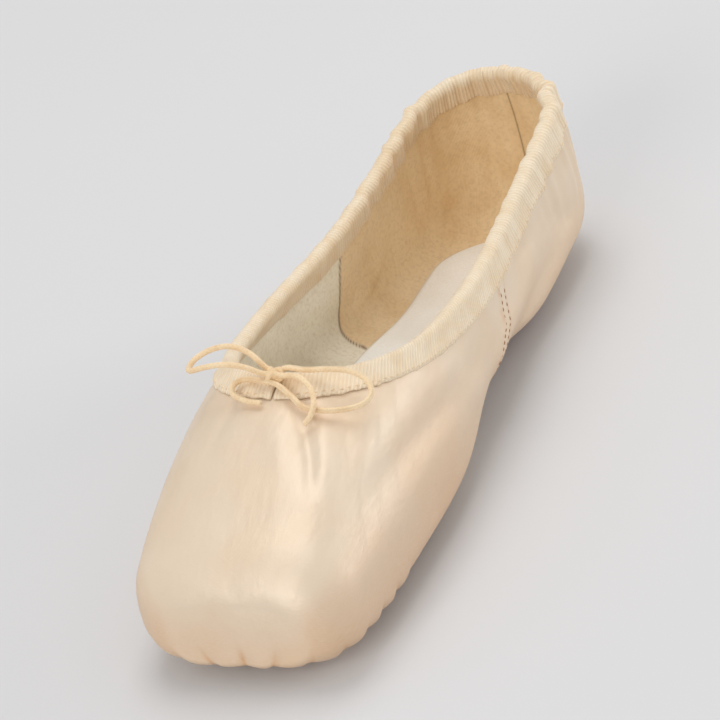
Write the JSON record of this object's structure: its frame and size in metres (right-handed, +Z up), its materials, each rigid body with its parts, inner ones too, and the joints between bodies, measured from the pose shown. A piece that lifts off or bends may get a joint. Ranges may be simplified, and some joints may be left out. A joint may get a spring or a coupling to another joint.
{
  "type": "pointe shoe",
  "caption": "Satin ballet pointe shoe with a stiff flat-tipped toe box, drawstring collar, cord bow and narrow leather outsole.",
  "frame": {"origin": "under the middle of the shoe's length and width, on the floor that the outsole stands on", "axes": "+Z up, +X from the toe to the heel, so that the toe points to -X and the wearer's left is -Y"},
  "size_m": [0.2378, 0.0724, 0.0674],
  "materials": {
    "satin": "peach satin, glossy along the weave",
    "binding_tape": "matt ribbed tape",
    "drawstring": "matt woven cord",
    "sole_leather": "smooth brown leather, scored under the forefoot",
    "sock": "off-white napped sock"
  },
  "bodies": {
    "root": {"upper": "satin", "heel_strip": "satin", "outsole": "sole_leather", "insole": "sock", "binding": "binding_tape", "bow_knot": "drawstring", "bow_loop_left": "drawstring", "bow_loop_right": "drawstring", "bow_end_left": "drawstring", "bow_end_right": "drawstring"}
  },
  "joints": []
}
